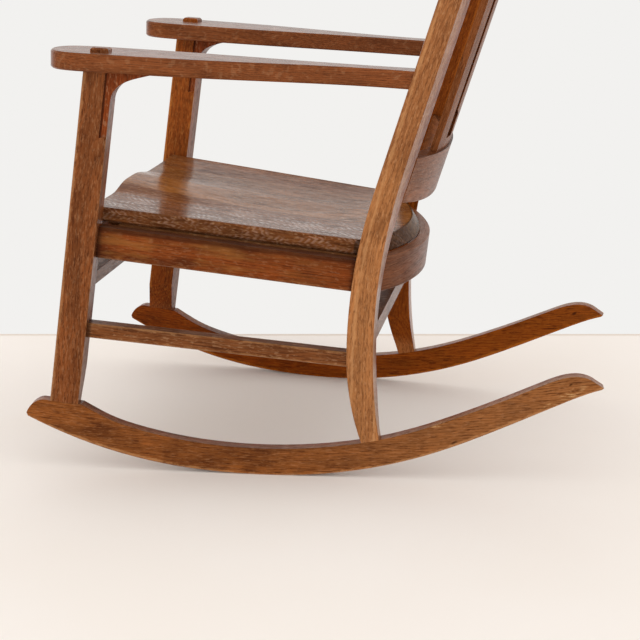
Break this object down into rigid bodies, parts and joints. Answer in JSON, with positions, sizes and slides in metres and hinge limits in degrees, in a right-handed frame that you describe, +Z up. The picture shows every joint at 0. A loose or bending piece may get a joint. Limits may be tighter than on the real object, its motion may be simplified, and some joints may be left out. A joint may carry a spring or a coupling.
{
  "type": "rocking chair",
  "caption": "Oak rocking chair with a saddled plank seat, bent back rails and pierced splat, flat arms on corbels and long sweeping runners.",
  "frame": {"origin": "middle of the bounding box on the floor", "axes": "+Z up, -Y the way the sitter faces, +X toward the sitter's left hand"},
  "size_m": [0.5602, 0.8413, 0.8841],
  "materials": {
    "oak": "fumed oak, satin wax",
    "oak_seat": "fumed oak, worn to a soft gloss",
    "oak_inner": "sawn oak, unfinished",
    "screw": "plain steel"
  },
  "bodies": {
    "root": {"arm_corbel_left": "oak", "arm_corbel_right": "oak", "arm_left": "oak", "arm_right": "oak", "back_splat": "oak", "crest_rail": "oak", "front_post_left": "oak", "front_post_right": "oak", "front_rail": "oak", "front_stretcher": "oak", "lower_back_rail": "oak", "rear_apron": "oak", "rear_post_left": "oak", "rear_post_right": "oak", "rear_stretcher": "oak", "rocker_dowels": "oak_inner", "rocker_left": "oak", "rocker_right": "oak", "seat_board_1": "oak_seat", "seat_board_2": "oak_seat", "seat_board_3": "oak_seat", "seat_board_4": "oak_seat", "seat_board_5": "oak_seat", "seat_cleat_front": "oak_inner", "seat_cleat_left": "oak_inner", "seat_cleat_right": "oak_inner", "seat_screws": "screw", "side_rail_left": "oak", "side_rail_right": "oak", "side_stretcher_left": "oak", "side_stretcher_right": "oak"}
  },
  "joints": []
}
